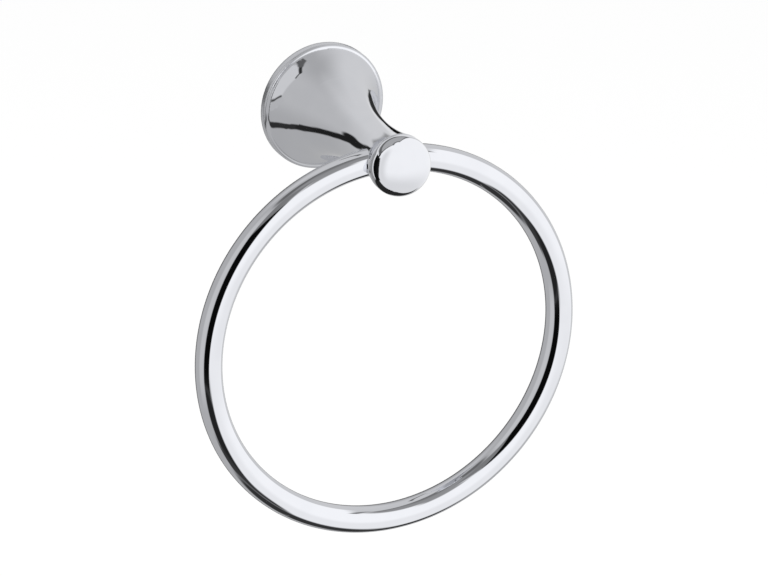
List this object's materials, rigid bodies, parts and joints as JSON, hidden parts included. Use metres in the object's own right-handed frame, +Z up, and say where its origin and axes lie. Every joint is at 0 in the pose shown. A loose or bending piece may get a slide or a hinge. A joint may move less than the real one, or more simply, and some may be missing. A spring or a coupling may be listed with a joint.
{
  "type": "towel ring",
  "caption": "Wall-mounted chrome towel ring: a round tube ring held in the front end of a flared post with a domed cap.",
  "frame": {"origin": "centre of the flange's back, on the wall's face", "axes": "+Y into the wall, -Y out into the room along the post, +Z up, +X to the right for a person who faces the wall"},
  "size_m": [0.18, 0.0961, 0.2027],
  "materials": {
    "chrome_plate": "polished chrome plate",
    "screw_steel": "zinc plated",
    "bracket_steel": "zinc plated, as rolled",
    "black_steel": "black oxide"
  },
  "bodies": {
    "root": {"post": "chrome_plate", "front_cap": "chrome_plate", "ring": "chrome_plate", "tie_screw": "screw_steel", "wall_bracket": "bracket_steel", "grub_screw": "black_steel"}
  },
  "joints": []
}
